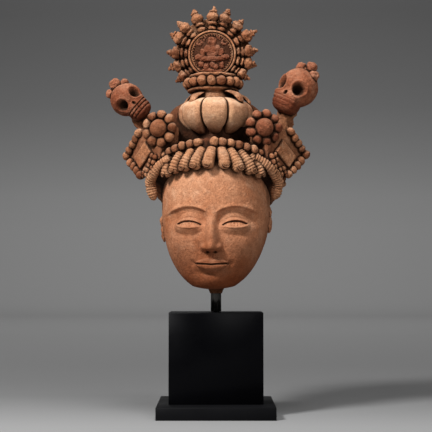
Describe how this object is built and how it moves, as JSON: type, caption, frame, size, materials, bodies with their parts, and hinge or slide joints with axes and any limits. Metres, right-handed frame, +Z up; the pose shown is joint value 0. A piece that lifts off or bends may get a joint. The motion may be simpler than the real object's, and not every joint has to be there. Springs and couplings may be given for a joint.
{
  "type": "terracotta bodhisattva head",
  "caption": "Fired clay head with a calm face, curled hair and a tall crown of lotus, rayed disc and skulls, held by a rod on a block and plate.",
  "frame": {"origin": "middle of the base plate's underside", "axes": "+Z up, -Y the way the stand and, within a few degrees, the face look, +X the viewer's right"},
  "size_m": [0.293, 0.1875, 0.5586],
  "materials": {
    "terracotta": "matte fired clay with worn patches and dark recesses",
    "polished_rod": "black polished metal",
    "black_block": "black satin lacquer",
    "black_plate": "black satin lacquer"
  },
  "bodies": {
    "root": {"terracotta_head": "terracotta", "mount_rod": "polished_rod", "plinth_block": "black_block", "base_plate": "black_plate"}
  },
  "joints": []
}
